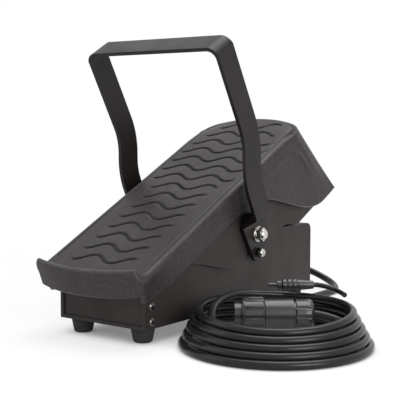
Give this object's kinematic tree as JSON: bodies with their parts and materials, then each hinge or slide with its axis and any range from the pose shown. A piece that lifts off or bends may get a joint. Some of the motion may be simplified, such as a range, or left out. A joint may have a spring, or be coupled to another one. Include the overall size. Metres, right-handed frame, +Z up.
{
  "type": "foot switch",
  "caption": "Industrial rocking foot control: sheet-steel base, long wave-treaded pedal with deep toe hood, bail carrying handle, and a coiled lead with a round plug.",
  "frame": {"origin": "on the floor, in the middle of the four rubber feet", "axes": "+Z up, +Y from the heel to the toe, +X to the right of a foot on the pedal"},
  "size_m": [0.328, 0.4135, 0.295],
  "materials": {
    "powder_coat": "fine-textured black powder coat",
    "tread_moulding": "matt moulded rubber",
    "rubber_black": "matt rubber",
    "zinc": "bright zinc plating",
    "black_steel": "black oxide",
    "bronze": "sintered bronze",
    "brass": "turned brass",
    "plated_sheet": "zinc-plated sheet",
    "grey_plastic": "matt moulding",
    "pale_plastic": "matt moulding",
    "cable_jacket": "semi-matt cable sheath",
    "plug_plastic": "semi-matt moulding"
  },
  "bodies": {
    "base": {"base_shell": "powder_coat", "front_panel": "powder_coat", "panel_screws": "black_steel", "feet": "rubber_black", "foot_screws": "zinc", "handle": "powder_coat", "pivot_bolts": "zinc", "pivot_washers": "zinc", "pivot_bushes": "bronze", "spacing_washers": "zinc", "pivot_nuts": "zinc", "lower_bolts": "zinc", "lower_washers": "black_steel", "lower_spacers": "zinc", "lower_nuts": "zinc", "heel_bumpers": "rubber_black", "spring_anchor": "plated_sheet", "return_springs": "zinc", "pot_body": "grey_plastic", "pot_nut": "zinc", "pot_bracket": "plated_sheet", "switch_body": "plug_plastic", "switch_bracket": "plated_sheet", "switch_screws": "zinc", "bracket_screws": "zinc", "terminal_block": "pale_plastic", "terminal_screws": "zinc", "gland_body": "plug_plastic", "gland_dome": "plug_plastic", "gland_locknut": "plug_plastic", "strain_relief": "rubber_black", "lead_run": "cable_jacket", "lead_coil": "cable_jacket", "lead_tail": "cable_jacket", "plug_body": "plug_plastic", "plug_insert": "grey_plastic", "plug_pins": "brass", "plug_nut": "plug_plastic", "branch_lead": "cable_jacket", "slim_plug": "plug_plastic"},
    "pedal": {"pedal_carrier": "powder_coat", "pedal_cover": "tread_moulding", "cover_screws": "zinc", "spring_rod": "zinc", "drive_sector": "plated_sheet", "sector_screws": "zinc"},
    "pinion": {"drive_pinion": "brass", "pot_shaft": "zinc"},
    "switch_plunger": {"switch_plunger": "pale_plastic"},
    "switch_lever": {"switch_lever": "zinc"},
    "coupling_ring": {"plug_ring": "plug_plastic"}
  },
  "joints": [
    {"name": "pedal_rock", "type": "hinge", "parent": "base", "child": "pedal", "pos_m": [0, 0.0235, 0.0905], "axis": [-1, 0, 0], "range_deg": [0, 12], "stiffness_Nm_per_rad": 2.5, "springref_deg": -17.19, "deforming": ["return_springs"]},
    {"name": "pot_turn", "type": "hinge", "parent": "base", "child": "pinion", "pos_m": [0.01, 0.0972, 0.07075], "axis": [-1, 0, 0], "range_deg": [-140, 6]},
    {"name": "lever_swing", "type": "hinge", "parent": "base", "child": "switch_lever", "pos_m": [0.01, 0.0069, 0.0375], "axis": [1, 0, 0], "range_deg": [0, 11]},
    {"name": "plunger_press", "type": "slide", "parent": "base", "child": "switch_plunger", "axis": [0, -1, 0], "range_m": [0, 0.0016]},
    {"name": "ring_turn", "type": "hinge", "parent": "base", "child": "coupling_ring", "pos_m": [0.11826, -0.06555, 0.0248], "axis": [-0.8018, -0.5976, 0], "continuous": true}
  ],
  "couplings": [
    {"joint": "pot_turn", "follows": "pedal_rock", "ratio": -11.2},
    {"joint": "lever_swing", "follows": "pedal_rock", "ratio": 0.85},
    {"joint": "plunger_press", "follows": "pedal_rock", "m_per_rad": 0.0072}
  ]
}
